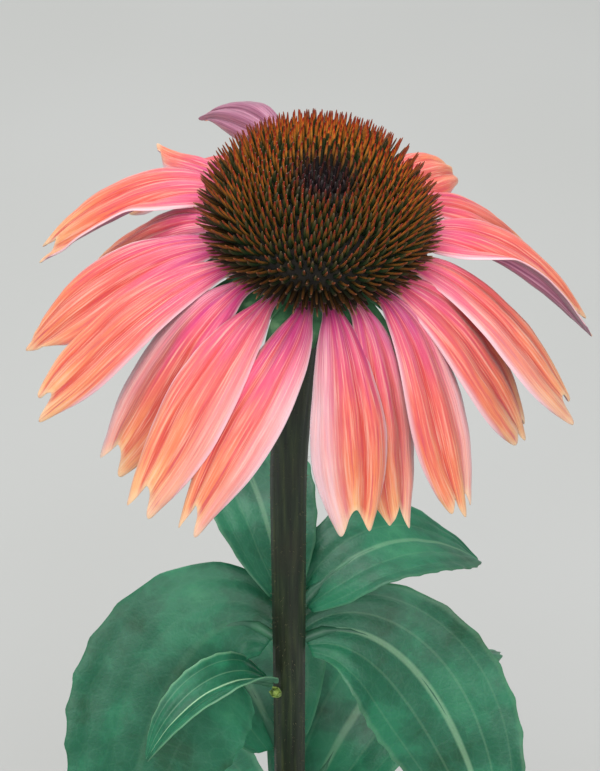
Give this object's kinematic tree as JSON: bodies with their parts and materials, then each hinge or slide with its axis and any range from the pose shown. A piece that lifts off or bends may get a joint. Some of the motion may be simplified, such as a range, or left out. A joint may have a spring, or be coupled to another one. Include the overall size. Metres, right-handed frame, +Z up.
{
  "type": "potted coneflower",
  "caption": "Single coneflower in bloom with drooping rays and a spiny domed cone, on a leafy stem in a plain clay pot of soil.",
  "frame": {"origin": "centre of the pot's underside, on the surface that it stands on", "axes": "+Z up along the stem, -Y towards the side that the bloom leans to, +X to the right seen from there"},
  "size_m": [0.2741, 0.2568, 0.5381],
  "materials": {
    "clay": "matte",
    "soil": "matte",
    "stem": "matte",
    "leaf": "satin",
    "bud": "satin",
    "bract": "satin",
    "petal": "satin",
    "cone": "satin"
  },
  "bodies": {
    "root": {"pot": "clay", "soil": "soil", "stem": "stem", "bracts": "bract", "ray_petals": "petal", "cone": "cone", "axil_bud": "bud", "leaf_left": "leaf", "leaf_right": "leaf", "leaf_small": "leaf", "leaf_right_back": "leaf", "leaf_back": "leaf", "leaf_low_back_left": "leaf", "leaf_front": "leaf", "leaf_low_back": "leaf", "leaf_low_left": "leaf", "leaf_low_right": "leaf", "leaf_ground_1": "leaf", "leaf_ground_2": "leaf", "leaf_ground_3": "leaf", "leaf_ground_4": "leaf", "leaf_ground_5": "leaf", "leaf_ground_6": "leaf", "leaf_ground_7": "leaf"}
  },
  "joints": []
}
